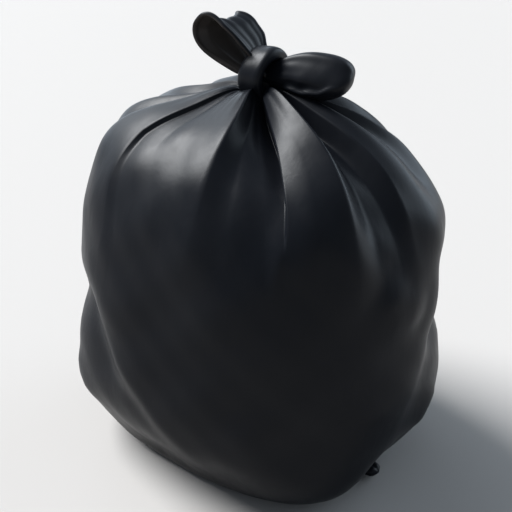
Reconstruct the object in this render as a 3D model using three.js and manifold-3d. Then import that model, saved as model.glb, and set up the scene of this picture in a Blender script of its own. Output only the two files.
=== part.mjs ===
// A full household bin bag with its neck tied in a knot. Millimetres, +Z up, standing on z = 0.
// X runs along the bow of the knot, from one bottom corner of the film to the other. -Y is the front.
// Azimuths are in degrees: 0 is -Y, 90 is +X. The film and what it holds are one closed solid.

import * as THREE from "three";
import { mergeVertices } from "three/addons/utils/BufferGeometryUtils.js";
import Module from "manifold-3d";

// The filled body
const HALF_WIDTH = 247;
const HALF_DEPTH = 216;
const NECK_HEIGHT = 512;
const PLAN_POWER = 2.35;
const NECK_SHIFT = [7, -7];
const FLOOR_SHARE = 0.5;
const NECK_SHARE = 0.1;

// Side profile: share of the half width, share of the neck's height
const PROFILE = [
  [0, 0], [0.3, 0], [0.58, 0], [0.74, 0.012], [0.885, 0.065], [0.965, 0.16], [0.99, 0.29], [0.985, 0.45],
  [0.955, 0.6], [0.88, 0.74], [0.75, 0.845], [0.55, 0.92], [0.32, 0.968], [0.15, 0.998],
  [0.1, 1], [0.06, 0.985], [0.02, 0.95],
];

// Folds that gather into the neck: azimuth low on the body, at the knot, 130 mm and 260 mm from it,
// then height (a valley is negative), reach from the knot, and sharpness of the fold
const FOLDS = [
  [-84, -86, -85, -84, -6, 260, 0.2],
  [-74, -73, -74, -75, 4, 280, 0.4],
  [-65, -61, -66, -66, -8, 290, 0.2],
  [-54, -49, -56, -54, 13, 330, 0.3],
  [-27, -33, -37.5, -29, 9, 330, 0.9],
  [-17, -31.8, -36.3, -22, 2, 280, 0.2],
  [-10, -22, -23, -12, 2, 260, 0.5],
  [-1, -8, -10, -3, 8, 270, 0.5],
  [10, 22.5, 15.5, 10.5, 22, 300, 0.6],
  [22, 29, 26, 23, -4, 320, 0.4],
  [35, 36, 37.5, 37, -19, 300, 0.5],
  [39, 51, 48, 41, -44, 240, 0.3],
  [43.5, 46, 45, 43.5, -4, 272, 0.7],
  [52, 53, 54, 53, 14, 320, 0.6],
  [62, 61, 64, 64, 30, 330, 0.5],
  [71, 74, 75, 74, -20, 300, 0],
  [80, 80, 80.5, 81, -21, 300, 0],
  [88, 83, 86.5, 88, 12, 340, 0.6],
  [97, 91, 95, 97, 21, 320, 0],
  [108, 102, 106, 108, 0, 260, 0],
  [116, 112, 114, 116, 13, 260, 0.7],
  [131, 130, 131, 131, -16, 260, 0.2],
  [144, 143, 144, 144, 16, 300, 0.6],
  [157, 163, 162, 158, -26, 330, 0.4],
  [163, 157, 157, 159, 12, 330, 0.9],
  [174, 172, 173, 174, 17, 300, 0],
  [196, 199, 198, 197, -16, 280, 0.2],
  [212, 210, 212, 214, 20, 320, 0.7],
  [226, 225, 226, 227, -18, 300, 0.3],
  [240, 240, 241, 242, 17, 300, 0.7],
  [254, 253, 254, 255, -13, 270, 0.2],
  [264, 266, 265, 264, 11, 240, 0.5],
];
const FOLD_STEP = 130;
const COLUMNS_PER_FOLD = 3;
const BODY_ROWS = 30;

// Bulges and dents: azimuth, height, half angle, half height, how far out
const BULGES = [
  [-66, 103, 30, 72, 16],
  [-58, 235, 34, 34, -12],
  [114, 115, 26, 75, 14],
  [112, 232, 26, 34, -8],
  [98, 290, 12, 90, 7],
  [112, 365, 20, 50, 17],
  [120, 455, 18, 40, 6],
  [-80, 462, 34, 52, 21],
  [52, 45, 20, 60, 18],
  [50, 415, 9, 45, 5],
  [10, 30, 30, 40, -17],
  [-20, 40, 24, 50, -15],
  [84, 36, 14, 46, -12],
  [200, 110, 30, 80, 16],
  [165, 230, 30, 60, -7],
  [230, 300, 26, 90, 8],
];

// The knot: a band of twisted film round the neck
const KNOT = new THREE.Vector3(14, -2, 527);
const KNOT_AXIS = new THREE.Vector3(0.98, -0.15, 0.08).normalize();
const KNOT_RADIUS = 28.5;
const KNOT_HALF_WIDTH = 16;
const KNOT_HALF_THICKNESS = 7;
const CORE_RADIUS = 19;
const CORE_HALF_DEPTH = 9;

// The two ears, each an open loop of flattened film
const LEFT_LENGTH = 89;
const LEFT_DIRECTION = new THREE.Vector3(-0.77, -0.16, 0.63).normalize();
const RIGHT_LENGTH = 114;
const RIGHT_DIRECTION = new THREE.Vector3(0.95, 0.2, 0.03).normalize();

// The pinched bottom corner of the film, lying on the floor
const TAB_ROOT = new THREE.Vector3(146, -7, 13);
const TAB_TIP = new THREE.Vector3(215, -15, 11);

const radians = THREE.MathUtils.degToRad;

function smooth(value) {
  const x = THREE.MathUtils.clamp(value, 0, 1);
  return x * x * (3 - 2 * x);
}

function bell(distance, width) {
  return Math.exp(-((distance / width) ** 2));
}

function turn(azimuth, centre) {
  const x = azimuth - radians(centre);
  return Math.atan2(Math.sin(x), Math.cos(x));
}

// A smooth line through points given as [x, y]
function smoothLine(points) {
  const line = points.map(([x, y]) => new THREE.Vector3(x, y, 0));
  return new THREE.CatmullRomCurve3(line, false, "centripetal");
}

const profileLine = smoothLine(PROFILE);
const MEAN_HALF = (HALF_WIDTH + HALF_DEPTH) / 2;

// Radius share, height and outward direction on the side profile
function profileAt(t) {
  const point = profileLine.getPointAt(t);
  const tangent = profileLine.getTangentAt(t);
  const direction = new THREE.Vector2(tangent.x * MEAN_HALF, tangent.y * NECK_HEIGHT).normalize();
  return { share: point.x, z: Math.max(point.y, 0) * NECK_HEIGHT, nr: direction.y, nz: -direction.x };
}

// Distance over the film from the foot of the knot to each row
function distancesFromKnot(rows) {
  const distances = new Array(rows.length).fill(0);
  for (let i = rows.length - 2; i >= 0; i -= 1) {
    const along = (rows[i].share - rows[i + 1].share) * MEAN_HALF;
    const step = Math.hypot(along, rows[i].z - rows[i + 1].z);
    distances[i] = rows[i].share > NECK_SHARE ? distances[i + 1] + step : 0;
  }
  return distances;
}

// Half width of the body seen from above, in the direction of an azimuth
function planRadius(azimuth) {
  const x = Math.abs(Math.sin(azimuth)) / HALF_WIDTH;
  const y = Math.abs(Math.cos(azimuth)) / HALF_DEPTH;
  return (x ** PLAN_POWER + y ** PLAN_POWER) ** (-1 / PLAN_POWER);
}

// Azimuth and height of one fold at a distance from the knot
function foldAt(fold, turns, distance) {
  const [rest, knot, near, far, height, reach] = fold;
  const x = distance / FOLD_STEP;
  let azimuth = far + (rest - far) * smooth(x - 2);
  if (x < 1) azimuth = knot + (near - knot) * 2 * smooth(x / 2);
  else if (x < 2) azimuth = near + (far - near) * (x - 1);
  const fading = Math.max(1 - Math.min(distance / reach, 1) ** 2, 0) ** 1.5;
  const rise = distance / (distance + 22);
  return { azimuth: azimuth + 360 * turns, height: height * rise * fading };
}

// A column's azimuth and height between two neighbouring folds
function columnAt(column, distance) {
  const index = Math.floor(column / COLUMNS_PER_FOLD);
  const x = (column % COLUMNS_PER_FOLD) / COLUMNS_PER_FOLD;
  const next = (index + 1) % FOLDS.length;
  const a = foldAt(FOLDS[index], 0, distance);
  const b = foldAt(FOLDS[next], next === 0 ? 1 : 0, distance);
  const leaving = 1.6 * FOLDS[index][6] * smooth(1.6 * (1 - distance / FOLDS[index][5]));
  const arriving = 1.6 * FOLDS[next][6] * smooth(1.6 * (1 - distance / FOLDS[next][5]));
  const bend = (x ** 3 - 2 * x ** 2 + x) * leaving + smooth(x) + (x ** 3 - x ** 2) * arriving;
  return {
    azimuth: radians(a.azimuth + (b.azimuth - a.azimuth) * x),
    height: a.height + (b.height - a.height) * bend,
  };
}

function bulgeAt(azimuth, z, share) {
  let out = 0;
  for (const [centre, height, halfAngle, halfHeight, amount] of BULGES) {
    out += amount * bell(turn(azimuth, centre), radians(halfAngle)) * bell(z - height, halfHeight);
  }
  return out * smooth(share * 1.9 - 0.4) * smooth(z / 30 + 0.4);
}

function bodyPoint(row, distance, column) {
  const { azimuth, height } = columnAt(column, distance + 6);
  const out = height + bulgeAt(azimuth, row.z, row.share);
  const radius = row.share * planRadius(azimuth) + out * Math.max(row.nr, 0);
  const lift = out * Math.abs(row.nz) * smooth((row.z / NECK_HEIGHT - 0.25) * 4);
  const shift = smooth(row.z / NECK_HEIGHT) ** 2;
  return new THREE.Vector3(
    radius * Math.sin(azimuth) + NECK_SHIFT[0] * shift,
    -radius * Math.cos(azimuth) + NECK_SHIFT[1] * shift,
    Math.max(row.z + lift, 0),
  );
}

// Rings of points from the floor up to the neck
function bodySections() {
  const rows = [];
  for (let i = 0; i <= BODY_ROWS; i += 1) {
    const row = profileAt(i / BODY_ROWS);
    if (row.share > FLOOR_SHARE || row.z > 1) rows.push(row);
  }
  const distances = distancesFromKnot(rows);
  const columns = [...Array(FOLDS.length * COLUMNS_PER_FOLD).keys()];
  return rows.map((row, i) => columns.map((column) => bodyPoint(row, distances[i], column)));
}

// A closed solid through rings of points that run anticlockwise seen from the last ring
function solidThrough(sections) {
  const size = sections[0].length;
  const index = [];
  for (let i = 0; i < sections.length - 1; i += 1) {
    for (let j = 0; j < size; j += 1) {
      const k = (j + 1) % size;
      const [a, b, c, d] = [i * size + j, i * size + k, (i + 1) * size + k, (i + 1) * size + j];
      index.push(a, b, c, a, c, d);
    }
  }
  const top = (sections.length - 1) * size;
  for (let j = 1; j < size - 1; j += 1) {
    index.push(0, j + 1, j);
    index.push(top, top + j, top + j + 1);
  }
  return toGeometry(sections.flat(), index);
}

function toGeometry(points, index) {
  const geometry = new THREE.BufferGeometry();
  const numbers = points.flatMap((p) => [p.x, p.y, p.z]);
  geometry.setAttribute("position", new THREE.Float32BufferAttribute(numbers, 3));
  geometry.setIndex(index);
  return geometry;
}

// Point in the frame of an ear or the knot
function placed(origin, axes, amounts) {
  const point = origin.clone();
  axes.forEach((axis, i) => point.addScaledVector(axis, amounts[i]));
  return point;
}

// Unit vector nearest to wanted and square to direction
function squareTo(direction, wanted) {
  return wanted.clone().addScaledVector(direction, -wanted.dot(direction)).normalize();
}

// Rounded rectangle's share at an angle
function rounded(value, power) {
  return Math.sign(value) * Math.abs(value) ** power;
}

function knotBand() {
  const up = squareTo(KNOT_AXIS, new THREE.Vector3(0, 0, 1));
  const side = new THREE.Vector3().crossVectors(KNOT_AXIS, up);
  const around = 28;
  const across = 12;
  const points = [];
  for (let i = 0; i < around; i += 1) {
    const a = (i / around) * 2 * Math.PI;
    const halfWidth = KNOT_HALF_WIDTH + 2.5 * Math.cos(a - 0.6);
    const halfThickness = KNOT_HALF_THICKNESS + Math.cos(a + 0.5);
    for (let j = 0; j < across; j += 1) {
      const b = (j / across) * 2 * Math.PI;
      const radius = KNOT_RADIUS + halfThickness * rounded(Math.sin(b), 0.6);
      const along = halfWidth * rounded(Math.cos(b), 0.6) + 2.5 * Math.sin(a * 2 + 0.6);
      points.push(placed(KNOT, [up, side, KNOT_AXIS], [radius * Math.cos(a), radius * Math.sin(a), along]));
    }
  }
  const index = [];
  for (let i = 0; i < around; i += 1) {
    for (let j = 0; j < across; j += 1) {
      const [n, k] = [((i + 1) % around) * across, (j + 1) % across];
      const [a, b, c, d] = [i * across + j, i * across + k, n + k, n + j];
      index.push(a, b, c, a, c, d);
    }
  }
  return toGeometry(points, index);
}

// The bunched film inside the band
function knotCore() {
  const core = new THREE.SphereGeometry(CORE_RADIUS, 16, 10);
  core.scale(CORE_HALF_DEPTH / CORE_RADIUS, 1, 1);
  core.translate(KNOT.x - 6, KNOT.y, KNOT.z);
  return core;
}

// The left ear: a strip of doubled film that leaves the knot, turns and comes back
const LEFT_PATH = smoothLine([
  [-4, 5], [18, 11], [45, 19], [70, 21], [86, 12],
  [LEFT_LENGTH, -4], [77, -17], [52, -20], [24, -13], [-4, -6],
]);
const LEFT_HALF_WIDTHS = smoothLine([
  [0, 10], [1, 20], [2, 29], [3, 33], [4, 31], [5, 29], [6, 27], [7, 22], [8, 15], [9, 9],
]);
const FILM_FOLD_THICKNESS = 2.4;

function leftEar() {
  const broad = squareTo(LEFT_DIRECTION, new THREE.Vector3(0.26, 0.93, -0.26));
  const up = new THREE.Vector3().crossVectors(LEFT_DIRECTION, broad);
  if (up.z < 0) up.negate();
  const steps = 26;
  const around = 12;
  const sections = [];
  for (let i = 0; i <= steps; i += 1) {
    const t = i / steps;
    const middle = LEFT_PATH.getPointAt(t);
    const tangent = LEFT_PATH.getTangentAt(t);
    const halfWidth = LEFT_HALF_WIDTHS.getPoint(t).y;
    const away = Math.sin(Math.PI * t);
    const ring = [];
    for (let j = 0; j < around; j += 1) {
      const b = (j / around) * 2 * Math.PI;
      const width = Math.cos(b);
      const front = ((1 - width) / 2) ** 1.4;
      const back = ((1 + width) / 2) ** 1.6;
      const offset = FILM_FOLD_THICKNESS * Math.sin(b) - 2.5 * width ** 2 * away;
      const bow = away ** 3 * (8 * front + 7 * width ** 2 - 14 * back - 2);
      const along = middle.x + tangent.y * offset + bow;
      const drawnIn = (middle.y - tangent.x * offset) * (1 - 0.7 * back * away);
      const rise = drawnIn + 18 * back * away + 4 * front * away ** 3;
      const across = halfWidth * width + 10 * away;
      ring.push(placed(KNOT, [LEFT_DIRECTION, up, broad], [along, rise, across]));
    }
    sections.push(ring);
  }
  return solidThrough(sections);
}

// The right ear: a fuller loop pressed shut, with a slot along its lower front
const RIGHT_PATH = smoothLine([[-6, 3], [20, 4], [50, 5], [80, 5], [100, 6], [RIGHT_LENGTH, 8]]);
const RIGHT_HALF_HEIGHTS = smoothLine([
  [0, 8], [15, 13], [30, 20], [48, 26], [64, 28.5], [82, 27.5], [96, 24], [106, 18], [112, 10],
  [RIGHT_LENGTH, 1],
]);
const SLOT_AZIMUTH = -23;

function rightEar() {
  const front = squareTo(RIGHT_DIRECTION, new THREE.Vector3(0.35, -0.9, 0));
  const up = new THREE.Vector3().crossVectors(front, RIGHT_DIRECTION);
  if (up.z < 0) up.negate();
  const steps = 20;
  const around = 22;
  const sections = [];
  for (let i = 0; i <= steps; i += 1) {
    const size = RIGHT_HALF_HEIGHTS.getPointAt(i / steps);
    const share = size.x / RIGHT_LENGTH;
    const middle = RIGHT_PATH.getPointAt(share);
    const open = Math.sin(Math.PI * Math.min(share * 1.08, 1));
    const ring = [];
    for (let j = 0; j < around; j += 1) {
      const b = (-j / around) * 2 * Math.PI;
      const away = turn(b, SLOT_AZIMUTH) + 0.25 - 0.5 * share;
      const mouth = 1 - 0.2 * open * bell(away, away > 0 ? 0.36 : 0.2);
      const lip = 1 + 0.05 * open * (bell(away + 0.2, 0.2) + bell(away - 0.7, 0.3));
      const leaning = Math.cos(b) - 0.3 * Math.sin(2 * b) * Math.cos(b);
      const forward = (size.y * 0.74 + 2) * leaning * mouth * lip;
      const rise = middle.y + size.y * Math.sin(b) * (0.5 + 0.5 * mouth) * lip;
      ring.push(placed(KNOT, [RIGHT_DIRECTION, up, front], [middle.x, rise, forward]));
    }
    sections.push(ring);
  }
  return solidThrough(sections);
}

function cornerTab() {
  const direction = new THREE.Vector3().subVectors(TAB_TIP, TAB_ROOT).normalize();
  const side = new THREE.Vector3(0, 0, 1).cross(direction).normalize();
  const up = new THREE.Vector3().crossVectors(direction, side);
  const sizes = [[0, 20, 12], [0.5, 17, 11], [0.8, 14, 9], [0.94, 11, 7], [1, 5, 3]];
  const sections = sizes.map(([t, halfWidth, halfHeight]) => {
    const middle = new THREE.Vector3().lerpVectors(TAB_ROOT, TAB_TIP, t);
    return [...Array(10).keys()].map((j) => {
      const b = (j / 10) * 2 * Math.PI;
      return placed(middle, [side, up], [halfWidth * Math.cos(b), halfHeight * Math.sin(b)]);
    });
  });
  return solidThrough(sections);
}

const wasm = await Module();
wasm.setup();

function toManifold(geometry) {
  geometry.deleteAttribute("normal");
  geometry.deleteAttribute("uv");
  const merged = mergeVertices(geometry, 1e-4);
  const solid = new wasm.Mesh({
    numProp: 3,
    vertProperties: new Float32Array(merged.attributes.position.array),
    triVerts: new Uint32Array(merged.index.array),
  });
  return new wasm.Manifold(solid);
}

function joined(geometries) {
  const solid = geometries.map(toManifold).reduce((a, b) => a.add(b));
  const mesh = solid.getMesh();
  const geometry = new THREE.BufferGeometry();
  geometry.setAttribute("position", new THREE.BufferAttribute(mesh.vertProperties, 3));
  geometry.setIndex(new THREE.BufferAttribute(mesh.triVerts, 1));
  geometry.computeVertexNormals();
  return geometry;
}

const film = new THREE.MeshStandardMaterial({ color: 0x1a1b1f, roughness: 0.42, metalness: 0 });
const bag = new THREE.Mesh(
  joined([solidThrough(bodySections()), knotBand(), knotCore(), leftEar(), rightEar(), cornerTab()]),
  film,
);
bag.name = "bag";

const object = new THREE.Group();
object.add(bag);

export default object;
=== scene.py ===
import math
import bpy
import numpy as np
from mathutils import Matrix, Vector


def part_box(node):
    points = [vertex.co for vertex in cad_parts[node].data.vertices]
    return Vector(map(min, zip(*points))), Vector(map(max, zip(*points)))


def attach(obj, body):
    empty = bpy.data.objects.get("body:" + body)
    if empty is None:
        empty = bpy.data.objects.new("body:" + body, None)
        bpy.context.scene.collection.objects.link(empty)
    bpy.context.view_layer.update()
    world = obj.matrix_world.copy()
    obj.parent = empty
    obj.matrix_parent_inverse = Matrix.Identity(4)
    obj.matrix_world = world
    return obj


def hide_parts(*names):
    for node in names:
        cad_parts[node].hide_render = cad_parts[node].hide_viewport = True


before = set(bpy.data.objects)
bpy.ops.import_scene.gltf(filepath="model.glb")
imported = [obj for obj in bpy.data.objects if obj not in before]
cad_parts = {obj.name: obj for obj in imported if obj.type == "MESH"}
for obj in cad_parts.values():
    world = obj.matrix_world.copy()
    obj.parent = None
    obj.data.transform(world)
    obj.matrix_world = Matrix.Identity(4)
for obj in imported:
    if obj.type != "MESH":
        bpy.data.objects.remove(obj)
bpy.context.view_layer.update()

# A full household bin bag of dark film, tied in a knot. The shape's lengths are millimetres, and the
# film's bumps and the stage are in metres. Azimuths in the tables are degrees round the bag: 0 is the
# broad front (-Y), 90 is +X.

FLOOR_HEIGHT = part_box("bag")[0].z
MILLIMETRE = 0.001

# The body: its size, how square its plan is, and how far the neck leans off the middle
HALF_WIDTH, HALF_DEPTH, NECK_HEIGHT = 247.0, 216.0, 512.0
PLAN_POWER = 2.35
NECK_SHIFT = (7.0, -7.0)
MEAN_RADIUS = 232.0     # turns an angle into a length round the sides

# Side profile: share of the half width, share of the neck's height
PROFILE = [(0, 0), (0.30, 0), (0.58, 0), (0.74, 0.012), (0.885, 0.065), (0.965, 0.16), (0.99, 0.29),
           (0.985, 0.45), (0.955, 0.60), (0.88, 0.74), (0.75, 0.845), (0.55, 0.92), (0.32, 0.968),
           (0.15, 0.998), (0.10, 1.0), (0.06, 0.985), (0.02, 0.95)]
NECK_SHARE = 0.10
BODY_ROWS = 210
FOOT_ROWS = 42          # rows that would lie flat on the floor, where one face stands for them

# Folds gathered into the neck: azimuth low on the body, at the knot, one and two steps from it,
# height (a valley is negative), reach from the knot, sharpness
FOLDS = [
    (-84, -86, -85, -84, -6, 260, 0.2),
    (-74, -73, -74, -75, 4, 280, 0.4),
    (-65, -61, -66, -66, -8, 290, 0.2),
    (-54, -49, -56, -54, 13, 330, 0.3),
    (-27, -33, -37.5, -29, 9, 330, 0.9),
    (-17, -31.8, -36.3, -22, 2, 280, 0.2),
    (-10, -22, -23, -12, 2, 260, 0.5),
    (-1, -8, -10, -3, 8, 270, 0.5),
    (10, 22.5, 15.5, 10.5, 22, 300, 0.6),
    (22, 29, 26, 23, -4, 320, 0.4),
    (35, 36, 37.5, 37, -19, 300, 0.5),
    (39, 51, 48, 41, -44, 240, 0.3),
    (43.5, 46, 45, 43.5, -4, 272, 0.7),
    (52, 53, 54, 53, 14, 320, 0.6),
    (62, 61, 64, 64, 30, 330, 0.5),
    (71, 74, 75, 74, -20, 300, 0.0),
    (80, 80, 80.5, 81, -21, 300, 0.0),
    (88, 83, 86.5, 88, 12, 340, 0.6),
    (97, 91, 95, 97, 21, 320, 0.0),
    (108, 102, 106, 108, 0, 260, 0.0),
    (116, 112, 114, 116, 13, 260, 0.7),
    (131, 130, 131, 131, -16, 260, 0.2),
    (144, 143, 144, 144, 16, 300, 0.6),
    (157, 163, 162, 158, -26, 330, 0.4),
    (163, 157, 157, 159, 12, 330, 0.9),
    (174, 172, 173, 174, 17, 300, 0.0),
    (196, 199, 198, 197, -16, 280, 0.2),
    (212, 210, 212, 214, 20, 320, 0.7),
    (226, 225, 226, 227, -18, 300, 0.3),
    (240, 240, 241, 242, 17, 300, 0.7),
    (254, 253, 254, 255, -13, 270, 0.2),
    (264, 266, 265, 264, 11, 240, 0.5),
]
FOLD_STEP = 130.0
FOLD_LEAD = 6.0         # the folds begin this far inside the knot
FOLD_ONSET = 22.0       # and reach half their height this far from their beginning
COLUMNS_PER_FOLD = 11

# Fine gathers under the knot: height, how far they reach, how far out they are at full height
GATHER_HEIGHT, GATHER_REACH, GATHER_START = 0.4, 55.0, 12.0

# Bulges and dents: azimuth, height, how broad in degrees, how tall, how far out
BULGES = [
    (-66, 103, 30, 72, 16),
    (-58, 235, 34, 34, -12),
    (114, 115, 26, 75, 14),
    (112, 232, 26, 34, -8),
    (98, 290, 12, 90, 7),
    (112, 365, 20, 50, 17),
    (120, 455, 18, 40, 6),
    (-80, 462, 34, 52, 21),
    (52, 45, 20, 60, 18),
    (50, 415, 9, 45, 5),
    (10, 30, 30, 40, -17),
    (-20, 40, 24, 50, -15),
    (84, 36, 14, 46, -12),
    (200, 110, 30, 80, 16),
    (165, 230, 30, 60, -7),
    (230, 300, 26, 90, 8),
]

# Long soft creases on the sides: points of (azimuth, height) from the top down, how far out, and width
# on the left and on the right as seen from outside
CREASES = [
    ([(-40, 330), (-27, 268), (-15, 199), (-3, 155), (12, 95), (20, 50)], 9, 24, 60),
    ([(-50, 300), (-40, 240), (-28, 185), (-14, 130)], -9, 30, 22),
    ([(99, 370), (97, 300), (94, 245), (87, 195), (80, 150), (74, 90)], 9, 60, 24),
    ([(108, 340), (107, 280), (104, 230), (97, 180)], -8, 22, 30),
    ([(-52, 150), (-47, 110), (-38, 70)], 5, 14, 26),
    ([(-62, 190), (-56, 140), (-50, 100)], -5, 20, 14),
    ([(104, 150), (98, 110), (92, 70)], 6, 26, 12),
    ([(30, 190), (33, 130), (32, 60)], 4, 40, 26),
    ([(66, 200), (64, 140), (64, 80)], 4, 26, 40),
    ([(70, 330), (78, 290), (90, 270)], 5, 16, 30),
    ([(215, 300), (205, 230), (190, 170), (178, 110)], 9, 50, 16),
    ([(150, 260), (158, 200), (172, 140)], 7, 18, 50),
    ([(245, 260), (250, 200), (262, 150)], 7, 20, 50),
    ([(-92, 430), (-97, 350), (-94, 270), (-86, 190)], 8, 44, 16),
    ([(-84, 380), (-86, 320), (-82, 260)], -5, 14, 30),
    ([(-118, 250), (-110, 180), (-100, 120), (-94, 60)], 8, 50, 18),
    ([(-128, 400), (-126, 320), (-120, 250)], 6, 16, 44),
    ([(140, 380), (142, 300), (150, 230), (153, 160)], 7, 46, 16),
    ([(122, 190), (130, 130), (134, 70)], 6, 16, 40),
]
CREST = 6.0             # how broadly a crease is rounded along its top

# The knot: its middle, the way the film runs through it, its band's middle and radius, and the radius,
# half length and middle along that way of the bunched film inside the band
KNOT = np.array([14.0, -2.0, 527.0])
KNOT_AXIS = (0.98, -0.15, 0.08)
BAND_MIDDLE = KNOT + (2.2, 1.5, 0)
BAND_RADIUS = 28.5
CORE_RADIUS, CORE_HALF_LENGTH, CORE_MIDDLE = 19.0, 9.0, -6.0

# The left loop's strip: the way it points, the way its width runs, points of (out of the knot, up),
# half widths at even steps along it, and the half thickness of its rolled rim
LEFT_DIRECTION = (-0.77, -0.16, 0.63)
LEFT_ACROSS = (0.26, 0.93, -0.26)
LEFT_PATH = [(-4, 5), (18, 11), (45, 19), (70, 21), (86, 12), (89, -4), (77, -17), (52, -20), (24, -13),
             (-4, -6)]
LEFT_HALF_WIDTHS = (8, 17, 28, 33, 31, 29, 27, 22, 15, 9)
RIM = 2.5

# The right loop: the way it points and faces, points of (out of the knot, up), points of (out of the
# knot, half height), and where round its section the mouth lies
RIGHT_DIRECTION = (0.95, 0.2, 0.03)
RIGHT_FRONT = (0.35, -0.9, 0)
RIGHT_LENGTH = 114.0
RIGHT_PATH = [(-6, 3), (20, 4), (50, 5), (80, 5), (100, 6), (RIGHT_LENGTH, 8)]
RIGHT_HALF_HEIGHTS = [(0, 8), (15, 13), (30, 20), (48, 26), (64, 28.5), (82, 27.5), (96, 24), (106, 18),
                      (112, 10), (RIGHT_LENGTH, 1)]
MOUTH_AZIMUTH = -23

# The pinched bottom corner: its two ends, and half widths and half heights at shares of its length
CORNER_ROOT = np.array([146.0, -7.0, 13.0])
CORNER_TIP = np.array([215.0, -15.0, 11.0])
CORNER_SHARES = (0, 0.5, 0.8, 0.94, 1)
CORNER_HALF_WIDTHS = (20, 17, 14, 11, 3)
CORNER_HALF_HEIGHTS = (12, 11, 9, 7, 2)

# Base colours of the film: clean, dusty, and a paler, warmer one on the open loop's inner face and front
# rim, which is painted light there and a painted highlight along the rim
CLEAN_FILM = (0.0030, 0.0037, 0.0055, 1)
DUSTY_FILM = (0.0047, 0.0054, 0.0072, 1)
PAINTED_LOOP_LIGHT_FILM = (0.030, 0.026, 0.024, 1)

# The stage: the camera's place in degrees and metres, and lamps of name, degrees round from behind the
# camera to its left, degrees up, strength, degrees across, colour
CAMERA_AZIMUTH, CAMERA_ELEVATION = 35.0, 27.0
CAMERA_TARGET = Vector((0, 0, 0.275))
CAMERA_DISTANCE = 1.15
CAMERA_VIEW_ANGLE = 34.0
SENSOR_WIDTH = 36
LAMPS = [
    ("key", 113, 50, 10.8, 34, (0.97, 0.985, 1.0)),
    ("left_rim", 152, 20, 1.3, 50, (0.80, 0.90, 1.0)),
    ("right_rim", -118, 19, 1.9, 50, (0.74, 0.87, 1.0)),
]
LAMP_DISTANCE = 3
SKY_COLOUR, SKY_STRENGTH = (0.76, 0.87, 1.0, 1), 0.5
FLOOR_HALF_SIZE = 9
FLOOR_COLOUR = (0.268, 0.257, 0.247, 1)


def unit(vector):
    """The vector, or each row of vectors, at length 1."""
    vector = np.asarray(vector, float)
    return vector / np.linalg.norm(vector, axis=-1, keepdims=True)


def square_to(direction, wanted):
    """The unit vector nearest the wanted one that is square to the direction."""
    wanted = np.asarray(wanted, float)
    return unit(wanted - direction * (wanted @ direction))


def upward(vector):
    """The vector or its opposite, whichever points up."""
    return vector if vector[2] > 0 else -vector


def smooth(value):
    """An easy step from 0 to 1 as the value goes from 0 to 1."""
    x = np.clip(value, 0, 1)
    return x * x * (3 - 2 * x)


def bell(distance, width):
    """1 at no distance, falling away over the width."""
    return np.exp(-(distance / width) ** 2)


def rounded(value, power):
    """A sine or cosine squared up, for a section between a circle and a box."""
    return np.sign(value) * np.abs(value) ** power


def turn(azimuth, centre):
    """Radians from a centre in degrees to an azimuth in radians, the short way round."""
    return (azimuth - math.radians(centre) + math.pi) % (2 * math.pi) - math.pi


def circle(count):
    """Even angles round a circle, in radians."""
    return np.linspace(0, 2 * math.pi, count, endpoint=False)


def placed(origin, axes, amounts):
    """Points at the given amounts along each axis from the origin."""
    return origin + sum(amount[..., None] * axis for axis, amount in zip(axes, amounts))


def length_along(points):
    """Distance of each point along the line from the first one."""
    return np.concatenate([[0], np.cumsum(np.linalg.norm(np.diff(points, axis=0), axis=1))])


def curve_between(a, b, c, d, count=60):
    """Points of a centripetal Catmull-Rom curve from b up to c."""
    t1 = np.linalg.norm(b - a) ** 0.5
    t2 = t1 + np.linalg.norm(c - b) ** 0.5
    t3 = t2 + np.linalg.norm(d - c) ** 0.5
    u = np.linspace(t1, t2, count, endpoint=False)[:, None]
    ab = (t1 - u) / t1 * a + u / t1 * b
    bc = (t2 - u) / (t2 - t1) * b + (u - t1) / (t2 - t1) * c
    cd = (t3 - u) / (t3 - t2) * c + (u - t2) / (t3 - t2) * d
    left = (t2 - u) / t2 * ab + u / t2 * bc
    right = (t3 - u) / (t3 - t1) * bc + (u - t1) / (t3 - t1) * cd
    return (t2 - u) / (t2 - t1) * left + (u - t1) / (t2 - t1) * right


def smooth_line(points, shares):
    """A smooth curve through the points, read at shares of its length."""
    p = np.asarray(points, float)
    p = np.concatenate([[2 * p[0] - p[1]], p, [2 * p[-1] - p[-2]]])
    pieces = [curve_between(*p[i - 1:i + 3]) for i in range(1, len(p) - 2)]
    fine = np.concatenate(pieces + [p[-2:-1]])
    length = length_along(fine)
    length /= length[-1]
    return np.stack([np.interp(shares, length, fine[:, k]) for k in range(p.shape[1])], -1)


def plan_radius(azimuth):
    """Radius of the body's plan, between an ellipse and a rectangle."""
    x = np.abs(np.sin(azimuth)) / HALF_WIDTH
    y = np.abs(np.cos(azimuth)) / HALF_DEPTH
    return (x ** PLAN_POWER + y ** PLAN_POWER) ** (-1 / PLAN_POWER)


def fold_line(fold, distance):
    """Azimuth in degrees, height and slope of one fold at each distance from the knot."""
    low, knot, near, far, height, reach, sharpness = fold
    x = distance / FOLD_STEP
    first = knot + (near - knot) * 2 * smooth(x / 2)
    second = near + (far - near) * (x - 1)
    rest = far + (low - far) * smooth(x - 2)
    azimuth = np.where(x < 1, first, np.where(x < 2, second, rest))
    fading = (1 - np.clip(distance / reach, 0, 1) ** 2) ** 1.5
    slope = 1.6 * sharpness * smooth(1.6 * (1 - distance / reach))
    return azimuth, height * fading * distance / (distance + FOLD_ONSET), slope


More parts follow.
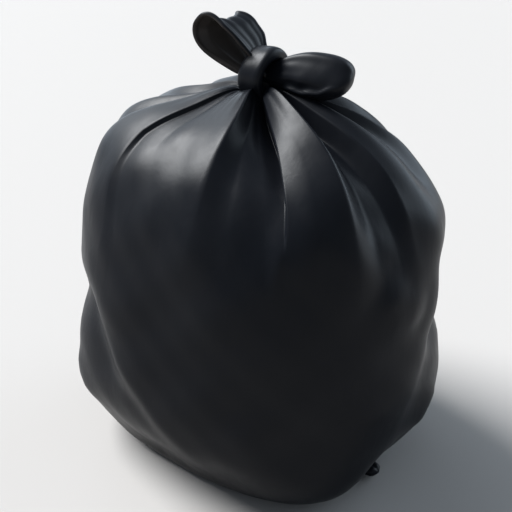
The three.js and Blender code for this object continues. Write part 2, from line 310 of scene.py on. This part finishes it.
def folded(distance):
    """Azimuth and height over the whole body: a row for each distance, columns round the neck."""
    lines = [fold_line(fold, distance[:, None]) for fold in FOLDS]
    azimuth, height, slope = lines[0]
    lines.append((azimuth + 360, height, slope))
    x = np.arange(COLUMNS_PER_FOLD) / COLUMNS_PER_FOLD
    azimuths, heights = [], []
    for (azimuth, height, slope), (next_azimuth, next_height, next_slope) in zip(lines, lines[1:]):
        azimuths.append(azimuth + (next_azimuth - azimuth) * x)
        bend = (x ** 3 - 2 * x ** 2 + x) * slope + smooth(x) + (x ** 3 - x ** 2) * next_slope
        heights.append(height + (next_height - height) * bend)
    return np.radians(np.concatenate(azimuths, 1)), np.concatenate(heights, 1)


def gathers(azimuth, distance):
    """Fine pleats of the film close under the knot."""
    waves = np.sin(34 * azimuth + 2 * np.sin(5 * azimuth)) + 0.6 * np.sin(57 * azimuth + 1.4)
    fading = np.exp(-(distance / GATHER_REACH) ** 1.5)
    return GATHER_HEIGHT * waves * fading * smooth(distance / GATHER_START)


def unevenness(azimuth, z):
    """Slow swellings and dents where the contents press on the film."""
    slow = 1.6 * np.sin(5 * azimuth + 0.021 * z + 1.0) * np.sin(0.017 * z + 2 * azimuth)
    middle = 1.1 * np.sin(9 * azimuth - 0.035 * z + 2.2) * np.sin(0.028 * z - 3 * azimuth + 0.4)
    quick = 0.5 * np.sin(17 * azimuth + 0.05 * z) * np.sin(0.06 * z + 5 * azimuth + 1.3)
    return slow + middle + quick


def nearest_on_line(x, z, line):
    """Distance from each place to a line of points, which side of it, and the share of its length."""
    lengths = np.hypot(*np.diff(line, axis=0).T)
    nearest, side, share = np.full(x.shape, np.inf), np.zeros(x.shape), np.zeros(x.shape)
    for i, length in enumerate(lengths):
        (start_x, start_z), (step_x, step_z) = line[i], line[i + 1] - line[i]
        k = np.clip(((x - start_x) * step_x + (z - start_z) * step_z) / length ** 2, 0, 1)
        dx, dz = x - start_x - k * step_x, z - start_z - k * step_z
        distance = np.hypot(dx, dz)
        closer = distance < nearest
        nearest = np.where(closer, distance, nearest)
        side = np.where(closer, dx * step_z - dz * step_x, side)
        share = np.where(closer, (lengths[:i].sum() + k * length) / lengths.sum(), share)
    return nearest, side, share


def crease(azimuth, z, points, height, left, right):
    """A soft ridge along a line on the side of the body."""
    p = np.array(points, float)
    middle = p[:, 0].mean()
    line = np.stack([np.radians(p[:, 0] - middle) * MEAN_RADIUS, p[:, 1]], -1)
    nearest, side, share = nearest_on_line(turn(azimuth, middle) * MEAN_RADIUS, z, line)
    down = (np.sqrt(nearest ** 2 + CREST ** 2) - CREST) / np.where(side > 0, left, right)
    ends = smooth(share * 3) * smooth((1 - share) * 3)
    return height * ends * np.exp(-down ** 1.5)


def pressed_out(azimuth, z):
    """How far the contents and the creases move the sides out."""
    out = unevenness(azimuth, z)
    for centre, level, breadth, tallness, amount in BULGES:
        out += amount * bell(turn(azimuth, centre), math.radians(breadth)) * bell(z - level, tallness)
    for line in CREASES:
        out += crease(azimuth, z, *line)
    return out


def body_points():
    """Rows of points from the foot up into the knot."""
    profile = smooth_line(PROFILE, np.linspace(0, 1, BODY_ROWS))
    scaled = profile * [(HALF_WIDTH + HALF_DEPTH) / 2, NECK_HEIGHT]
    length = length_along(scaled)
    neck_row = np.argmin(np.abs(profile[:, 0] - NECK_SHARE) + (profile[:, 1] < 0.5))
    distance = np.clip(length[neck_row] - length, 0, None)
    tangent = unit(np.gradient(scaled, axis=0))
    facing_out, facing_up = np.clip(tangent[:, 1:], 0, 1), np.abs(tangent[:, :1])
    share = profile[:, :1]
    azimuth, height = folded(distance + FOLD_LEAD)
    z = np.maximum(scaled[:, 1:], 0) + 0 * azimuth
    pressed = pressed_out(azimuth, z) * smooth(share * 1.9 - 0.4) * smooth(z / 30 + 0.4)
    out = height + gathers(azimuth, distance[:, None]) + pressed
    radius = share * plan_radius(azimuth) + out * facing_out
    lift = out * facing_up * smooth((z / NECK_HEIGHT - 0.25) * 4)
    shift = smooth(z / NECK_HEIGHT) ** 2
    x = radius * np.sin(azimuth) + NECK_SHIFT[0] * shift
    y = -radius * np.cos(azimuth) + NECK_SHIFT[1] * shift
    return np.stack([x, y, np.maximum(z + lift, 0)], -1)[FOOT_ROWS:]


def knot_axes():
    """Up, sideways and along the bunched film that runs through the knot."""
    axis = unit(KNOT_AXIS)
    up = square_to(axis, (0, 0, 1))
    return up, np.cross(axis, up), axis


def band_points():
    """The band of film that the knot wraps round the neck."""
    a, b = circle(120)[:, None], circle(48)[None, :]
    half_width = 16.0 + 2.5 * np.cos(a - 0.6) + 0.8 * np.cos(3 * a + 1)
    half_thickness = 7.0 + 1.0 * np.cos(a + 0.5) + 0.5 * np.cos(2 * a) + 0.3 * np.sin(5 * a + 1)
    groove = 0.25 * bell(np.cos(b) - 0.35 * np.sin(2 * a), 0.12) * (np.sin(b) > 0)
    radius = BAND_RADIUS + half_thickness * rounded(np.sin(b), 0.6) - groove
    along = half_width * rounded(np.cos(b), 0.6) + 2.5 * np.sin(a * 2 + 0.6)
    return placed(BAND_MIDDLE, knot_axes(), (radius * np.cos(a), radius * np.sin(a), along))


def core_points():
    """The bunched film inside the band."""
    pole = math.pi / 2 - 0.02
    latitude = np.linspace(-pole, pole, 30)[:, None]
    a = circle(96)[None, :]
    ripple = 1 + 0.07 * np.cos(7 * a + 2 * latitude) + 0.05 * np.cos(11 * a + 1)
    sag = 1 + 0.3 * bell(np.cos(a) + 1, 0.6)
    radius = CORE_RADIUS * np.cos(latitude) * ripple * sag
    along = CORE_HALF_LENGTH * np.sin(latitude) + CORE_MIDDLE + 0 * a
    return placed(KNOT, knot_axes(), (radius * np.cos(a), radius * np.sin(a), along))


def left_loop_relief(share, width):
    """Waves, folds and the curled front rim of the left loop's film, at shares along and across it."""
    wave = np.sin(11 * share + 2.5 * width) + 0.6 * np.sin(23 * share - 3 * width)
    wave = wave + 0.8 * width ** 2 * np.sin(43 * share + width)
    fold = 2.2 * bell(width - 0.15 + 0.15 * np.sin(5 * share), 0.16)
    fold = fold + 1.8 * bell(width + 0.42 - 0.12 * np.sin(7 * share + 1), 0.11)
    fold = fold + 1.5 * bell(width - 0.6 + 0.1 * np.sin(6 * share), 0.1) - 2.5 * width ** 2
    curl = 2.4 * bell(width + 0.86, 0.12) * (1 + 0.35 * np.sin(31 * share + 1))
    return 1.1 * wave * np.abs(width) + fold - curl


def rolled_rim(inward):
    """Share of the rim's thickness, a number of rim radii inward of the edge: a bead, then thinner film."""
    bead = np.sqrt(1 - (1 - np.minimum(inward, 1)) ** 2)
    return np.where(inward < 1, bead, 0.35 + 0.65 * smooth((2.6 - inward) / 1.6))


def left_loop_points():
    """A strip of doubled film that leaves the knot, turns and comes back, drawn in at the rear."""
    direction = unit(LEFT_DIRECTION)
    across = square_to(direction, LEFT_ACROSS)
    up = upward(np.cross(direction, across))
    stations = np.linspace(0, 1, 120)
    path = smooth_line(LEFT_PATH, stations)
    tangent = unit(np.gradient(path, axis=0))
    half_width = np.interp(stations, np.linspace(0, 1, len(LEFT_HALF_WIDTHS)), LEFT_HALF_WIDTHS)[:, None]
    share = stations[:, None]
    away = np.sin(math.pi * share)
    b = circle(96)[None, :]
    width = np.cos(b)
    front = ((1 - width) / 2) ** 1.4
    back = ((1 + width) / 2) ** 1.6
    film = RIM * rolled_rim((1 - np.abs(width)) * half_width / RIM) * np.sign(np.sin(b))
    offset = film + left_loop_relief(share, width) * away
    bow = away ** 3 * (8 * front + 7 * width ** 2 - 14 * back - 2)
    out = path[:, :1] + tangent[:, 1:] * offset + bow
    rise = (path[:, 1:] - tangent[:, :1] * offset) * (1 - 0.7 * back * away) + 18 * back * away
    rise = rise + 1.5 * front * away ** 3
    sway = (1.5 * np.sin(9 * share + 1) + 0.9 * np.sin(37 * share)) * away
    return placed(KNOT, (direction, up, across), (out, rise, half_width * width + 10 * away + sway))


def right_loop_points():
    """A fuller loop pressed shut, with its mouth along the lower front."""
    direction = unit(RIGHT_DIRECTION)
    front = square_to(direction, RIGHT_FRONT)
    up = upward(np.cross(front, direction))
    size = smooth_line(RIGHT_HALF_HEIGHTS, np.linspace(0, 1, 100))
    share, half_height = size[:, :1] / RIGHT_LENGTH, size[:, 1:]
    path = smooth_line(RIGHT_PATH, share[:, 0])
    b = circle(96)[None, :]
    wander = 0.25 - 0.5 * share + 0.05 * np.sin(13 * share) + 0.04 * np.sin(29 * share)
    away = turn(b, MOUTH_AZIMUTH) + wander
    opened = np.sin(math.pi * np.clip(share * 1.08, 0, 1))
    mouth = 1 - 0.16 * opened * bell(away, np.where(away > 0, 0.36, 0.09))
    lips = 1 + opened * (0.035 * bell(away + 0.2, 0.14) + 0.05 * bell(away - 0.7, 0.30))
    pleats = 1 + 0.02 * np.sin(9 * b + 1.5 * np.sin(2 * b) + 3 * share) * bell(share - 0.25, 0.3)
    half_depth = half_height * (0.5 + 0.4 * share) + 2
    forward = half_depth * (np.cos(b) - 0.30 * np.sin(2 * b) * np.cos(b)) * mouth * lips * pleats
    rise = path[:, 1:] + half_height * np.sin(b) * (0.5 + 0.5 * mouth) * lips * pleats
    return placed(KNOT, (direction, up, front), (path[:, :1] + 0 * rise, rise, forward))


def corner_points():
    """The pinched bottom corner of the film."""
    direction = unit(CORNER_TIP - CORNER_ROOT)
    side = unit(np.cross((0, 0, 1.0), direction))
    up = np.cross(direction, side)
    share = np.linspace(0, 1, 40)
    half_width = np.interp(share, CORNER_SHARES, CORNER_HALF_WIDTHS)[:, None]
    half_height = np.interp(share, CORNER_SHARES, CORNER_HALF_HEIGHTS)[:, None]
    b = circle(40)[None, :]
    middle = CORNER_ROOT + (CORNER_TIP - CORNER_ROOT) * share[:, None, None]
    pinch = 1 - 0.25 * bell(turn(b, 90), 0.3)
    return placed(middle, (side, up), (half_width * np.cos(b), half_height * np.sin(b) * pinch))


def add_shell(shells, points, ring=False, loop=False):
    """Add rows of points as a closed shell: vertices, faces, and a share for each vertex of painted light,
    on a loop's inner face and as a painted highlight along its front rim.

    A ring's last row joins its first. Otherwise a face closes each end.
    """
    rows, size, _ = points.shape
    start = sum(len(vertices) for vertices, _, _ in shells)
    i = np.arange(rows if ring else rows - 1)[:, None] * size
    after = (i + size) % (rows * size)
    j = np.arange(size)[None, :]
    k = (j + 1) % size
    quads = np.stack([i + j, i + k, after + k, after + j], -1).reshape(-1, 4) + start
    faces = [tuple(quad) for quad in quads.tolist()]
    if not ring:
        faces.append(tuple(range(start + size - 1, start - 1, -1)))
        faces.append(tuple(range(start + (rows - 1) * size, start + rows * size)))
    b = circle(size)
    # Painted light: a loop's inner face and its front rim bead take the paler film colour, standing in for
    # light inside the loop and a highlight on the rim
    inside = smooth(3 * np.sin(b) + 0.9 * bell(b - math.pi, 0.25)) * loop
    shells.append((points.reshape(-1, 3) * MILLIMETRE, faces, np.tile(inside, rows)))


def add_object(name, data):
    """A new object in the scene."""
    item = bpy.data.objects.new(name, data)
    bpy.context.scene.collection.objects.link(item)
    return item


def make_bag():
    """The body, the knot, both loops and the corner as one piece."""
    shells = []
    add_shell(shells, body_points())
    add_shell(shells, band_points(), ring=True)
    add_shell(shells, core_points())
    add_shell(shells, left_loop_points(), loop=True)
    add_shell(shells, right_loop_points()[:, ::-1])
    add_shell(shells, corner_points())
    points, faces, inside = zip(*shells)
    mesh = bpy.data.meshes.new("bin_bag")
    mesh.from_pydata(np.concatenate(points).tolist(), [], sum(faces, []))
    # The inside attribute carries the painted light and painted rim highlight of the open loop to the
    # material
    mesh.attributes.new("inside", "FLOAT", "POINT").data.foreach_set("value", np.concatenate(inside))
    mesh.shade_smooth()
    return add_object("bin_bag", mesh)


def add_node(tree, kind, settings, inputs=()):
    """A shader node with its settings and input values; an input may be another node's output."""
    node = tree.nodes.new(kind)
    for name, value in settings.items():
        setattr(node, name, value)
    for name, value in dict(inputs).items():
        if isinstance(value, bpy.types.NodeSocket):
            tree.links.new(value, node.inputs[name])
        else:
            node.inputs[name].default_value = value
    return node


def noise(tree, place, scale, stretch, detail, distortion=0.0):
    """Noise over the object, drawn out by the stretch along each axis."""
    mapping = add_node(tree, "ShaderNodeMapping", {}, {"Vector": place, "Scale": stretch})
    inputs = {"Vector": mapping.outputs[0], "Scale": scale, "Detail": detail, "Distortion": distortion}
    return add_node(tree, "ShaderNodeTexNoise", {}, inputs).outputs["Fac"]


def ranged(tree, value, low, high, new_low, new_high):
    """The value moved from one range to another."""
    inputs = {"Value": value, "From Min": low, "From Max": high, "To Min": new_low, "To Max": new_high}
    return add_node(tree, "ShaderNodeMapRange", {}, inputs).outputs["Result"]


def mixed(tree, share, first, second):
    """A colour between the first and the second: inputs 6 and 7 and output 2 of a mix node."""
    inputs = {"Factor": share, 6: first, 7: second}
    return add_node(tree, "ShaderNodeMix", {"data_type": "RGBA"}, inputs).outputs[2]


def bump(tree, height, distance, strength, normal=None):
    """The normal tilted by a height, on top of another bump's normal if there is one."""
    inputs = {"Height": height, "Distance": distance, "Strength": strength}
    if normal:
        inputs["Normal"] = normal
    return add_node(tree, "ShaderNodeBump", {}, inputs).outputs["Normal"]


def film_colour(tree, clouds):
    """Near-black with faint dust, and a little paler and warmer inside the open loop and along its front
    rim: painted light there and a painted highlight on the rim.
    """
    dust = ranged(tree, clouds, 0.42, 0.70, 0.0, 1.0)
    # The paler film inside the loop and on its rim is painted light and a painted highlight
    inside = add_node(tree, "ShaderNodeAttribute", {"attribute_name": "inside"}).outputs["Fac"]
    return mixed(tree, inside, mixed(tree, dust, CLEAN_FILM, DUSTY_FILM), PAINTED_LOOP_LIGHT_FILM)


def film_roughness(tree, place, clouds):
    """Gloss that changes slowly with the dust and finely with the scuffs."""
    scuffs = noise(tree, place, 60.0, (1, 1, 0.5), 6.0, 1.2)
    broad = ranged(tree, clouds, 0.3, 0.7, 0.35, 0.41)
    fine = ranged(tree, scuffs, 0.3, 0.7, -0.025, 0.03)
    return add_node(tree, "ShaderNodeMath", {"operation": "ADD"}, {0: broad, 1: fine}).outputs[0]


def film_normal(tree, place):
    """Drawn wrinkles, a fine crinkle and grain."""
    drawn = noise(tree, place, 26.0, (1, 1, 0.22), 3.0, 0.7)
    crinkle = noise(tree, place, 150.0, (1, 1, 0.8), 3.0, 0.3)
    grain = noise(tree, place, 900.0, (1, 1, 1), 2.0)
    normal = bump(tree, drawn, 0.0018, 0.25)
    normal = bump(tree, crinkle, 0.0003, 0.20, normal)
    return bump(tree, grain, 0.00008, 0.25, normal)


def film_material():
    """Semi-gloss near-black polythene."""
    material = bpy.data.materials.new("film")
    material.use_nodes = True
    tree = material.node_tree
    shader = tree.nodes["Principled BSDF"]
    place = add_node(tree, "ShaderNodeTexCoord", {}).outputs["Object"]
    clouds = noise(tree, place, 7.0, (1, 1, 0.7), 5.0, 0.4)
    tree.links.new(film_colour(tree, clouds), shader.inputs["Base Color"])
    tree.links.new(film_roughness(tree, place, clouds), shader.inputs["Roughness"])
    tree.links.new(film_normal(tree, place), shader.inputs["Normal"])
    shader.inputs["Specular IOR Level"].default_value = 0.10
    return material


def make_floor():
    """A pale matt floor."""
    half = FLOOR_HALF_SIZE
    outline = ((-half, -half), (half, -half), (half, half), (-half, half))
    mesh = bpy.data.meshes.new("floor")
    mesh.from_pydata([(x, y, FLOOR_HEIGHT) for x, y in outline], [], [(0, 1, 2, 3)])
    material = bpy.data.materials.new("pale_floor")
    material.use_nodes = True
    shader = material.node_tree.nodes["Principled BSDF"]
    shader.inputs["Base Color"].default_value = FLOOR_COLOUR
    shader.inputs["Roughness"].default_value = 0.9
    shader.inputs["Specular IOR Level"].default_value = 0.2
    mesh.materials.append(material)
    add_object("floor", mesh)


def toward(azimuth, elevation):
    """The direction from the bag toward an azimuth and elevation in degrees."""
    a, e = math.radians(azimuth), math.radians(elevation)
    return Vector((math.sin(a) * math.cos(e), -math.cos(a) * math.cos(e), math.sin(e)))


def look_along(item, direction):
    """Point a camera or a lamp along a direction."""
    item.rotation_euler = direction.to_track_quat("-Z", "Y").to_euler()


def make_camera():
    """The main camera, above the bag's front right corner."""
    data = bpy.data.cameras.new("camera")
    data.sensor_width = SENSOR_WIDTH
    data.lens = SENSOR_WIDTH / 2 / math.tan(math.radians(CAMERA_VIEW_ANGLE) / 2)
    camera = add_object("camera", data)
    back = toward(CAMERA_AZIMUTH, CAMERA_ELEVATION)
    camera.location = CAMERA_TARGET + back * CAMERA_DISTANCE
    look_along(camera, -back)
    bpy.context.scene.camera = camera


def add_lamp(name, side, height, strength, spread, colour):
    """A broad far lamp."""
    data = bpy.data.lights.new(name, "SUN")
    data.energy = strength
    data.angle = math.radians(spread)
    data.color = colour
    lamp = add_object(name, data)
    lamp.location = toward(CAMERA_AZIMUTH - side, height) * LAMP_DISTANCE
    look_along(lamp, -lamp.location)


def make_lights():
    """The lamps and a pale sky."""
    for lamp in LAMPS:
        add_lamp(*lamp)
    world = bpy.data.worlds.new("studio")
    world.use_nodes = True
    background = world.node_tree.nodes["Background"]
    background.inputs["Color"].default_value = SKY_COLOUR
    background.inputs["Strength"].default_value = SKY_STRENGTH
    bpy.context.scene.world = world
    bpy.context.scene.view_settings.view_transform = "Standard"


make_camera()
bag = make_bag()
bag.data.materials.append(film_material())
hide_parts("bag")
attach(bag, "root")
make_floor()
make_lights()
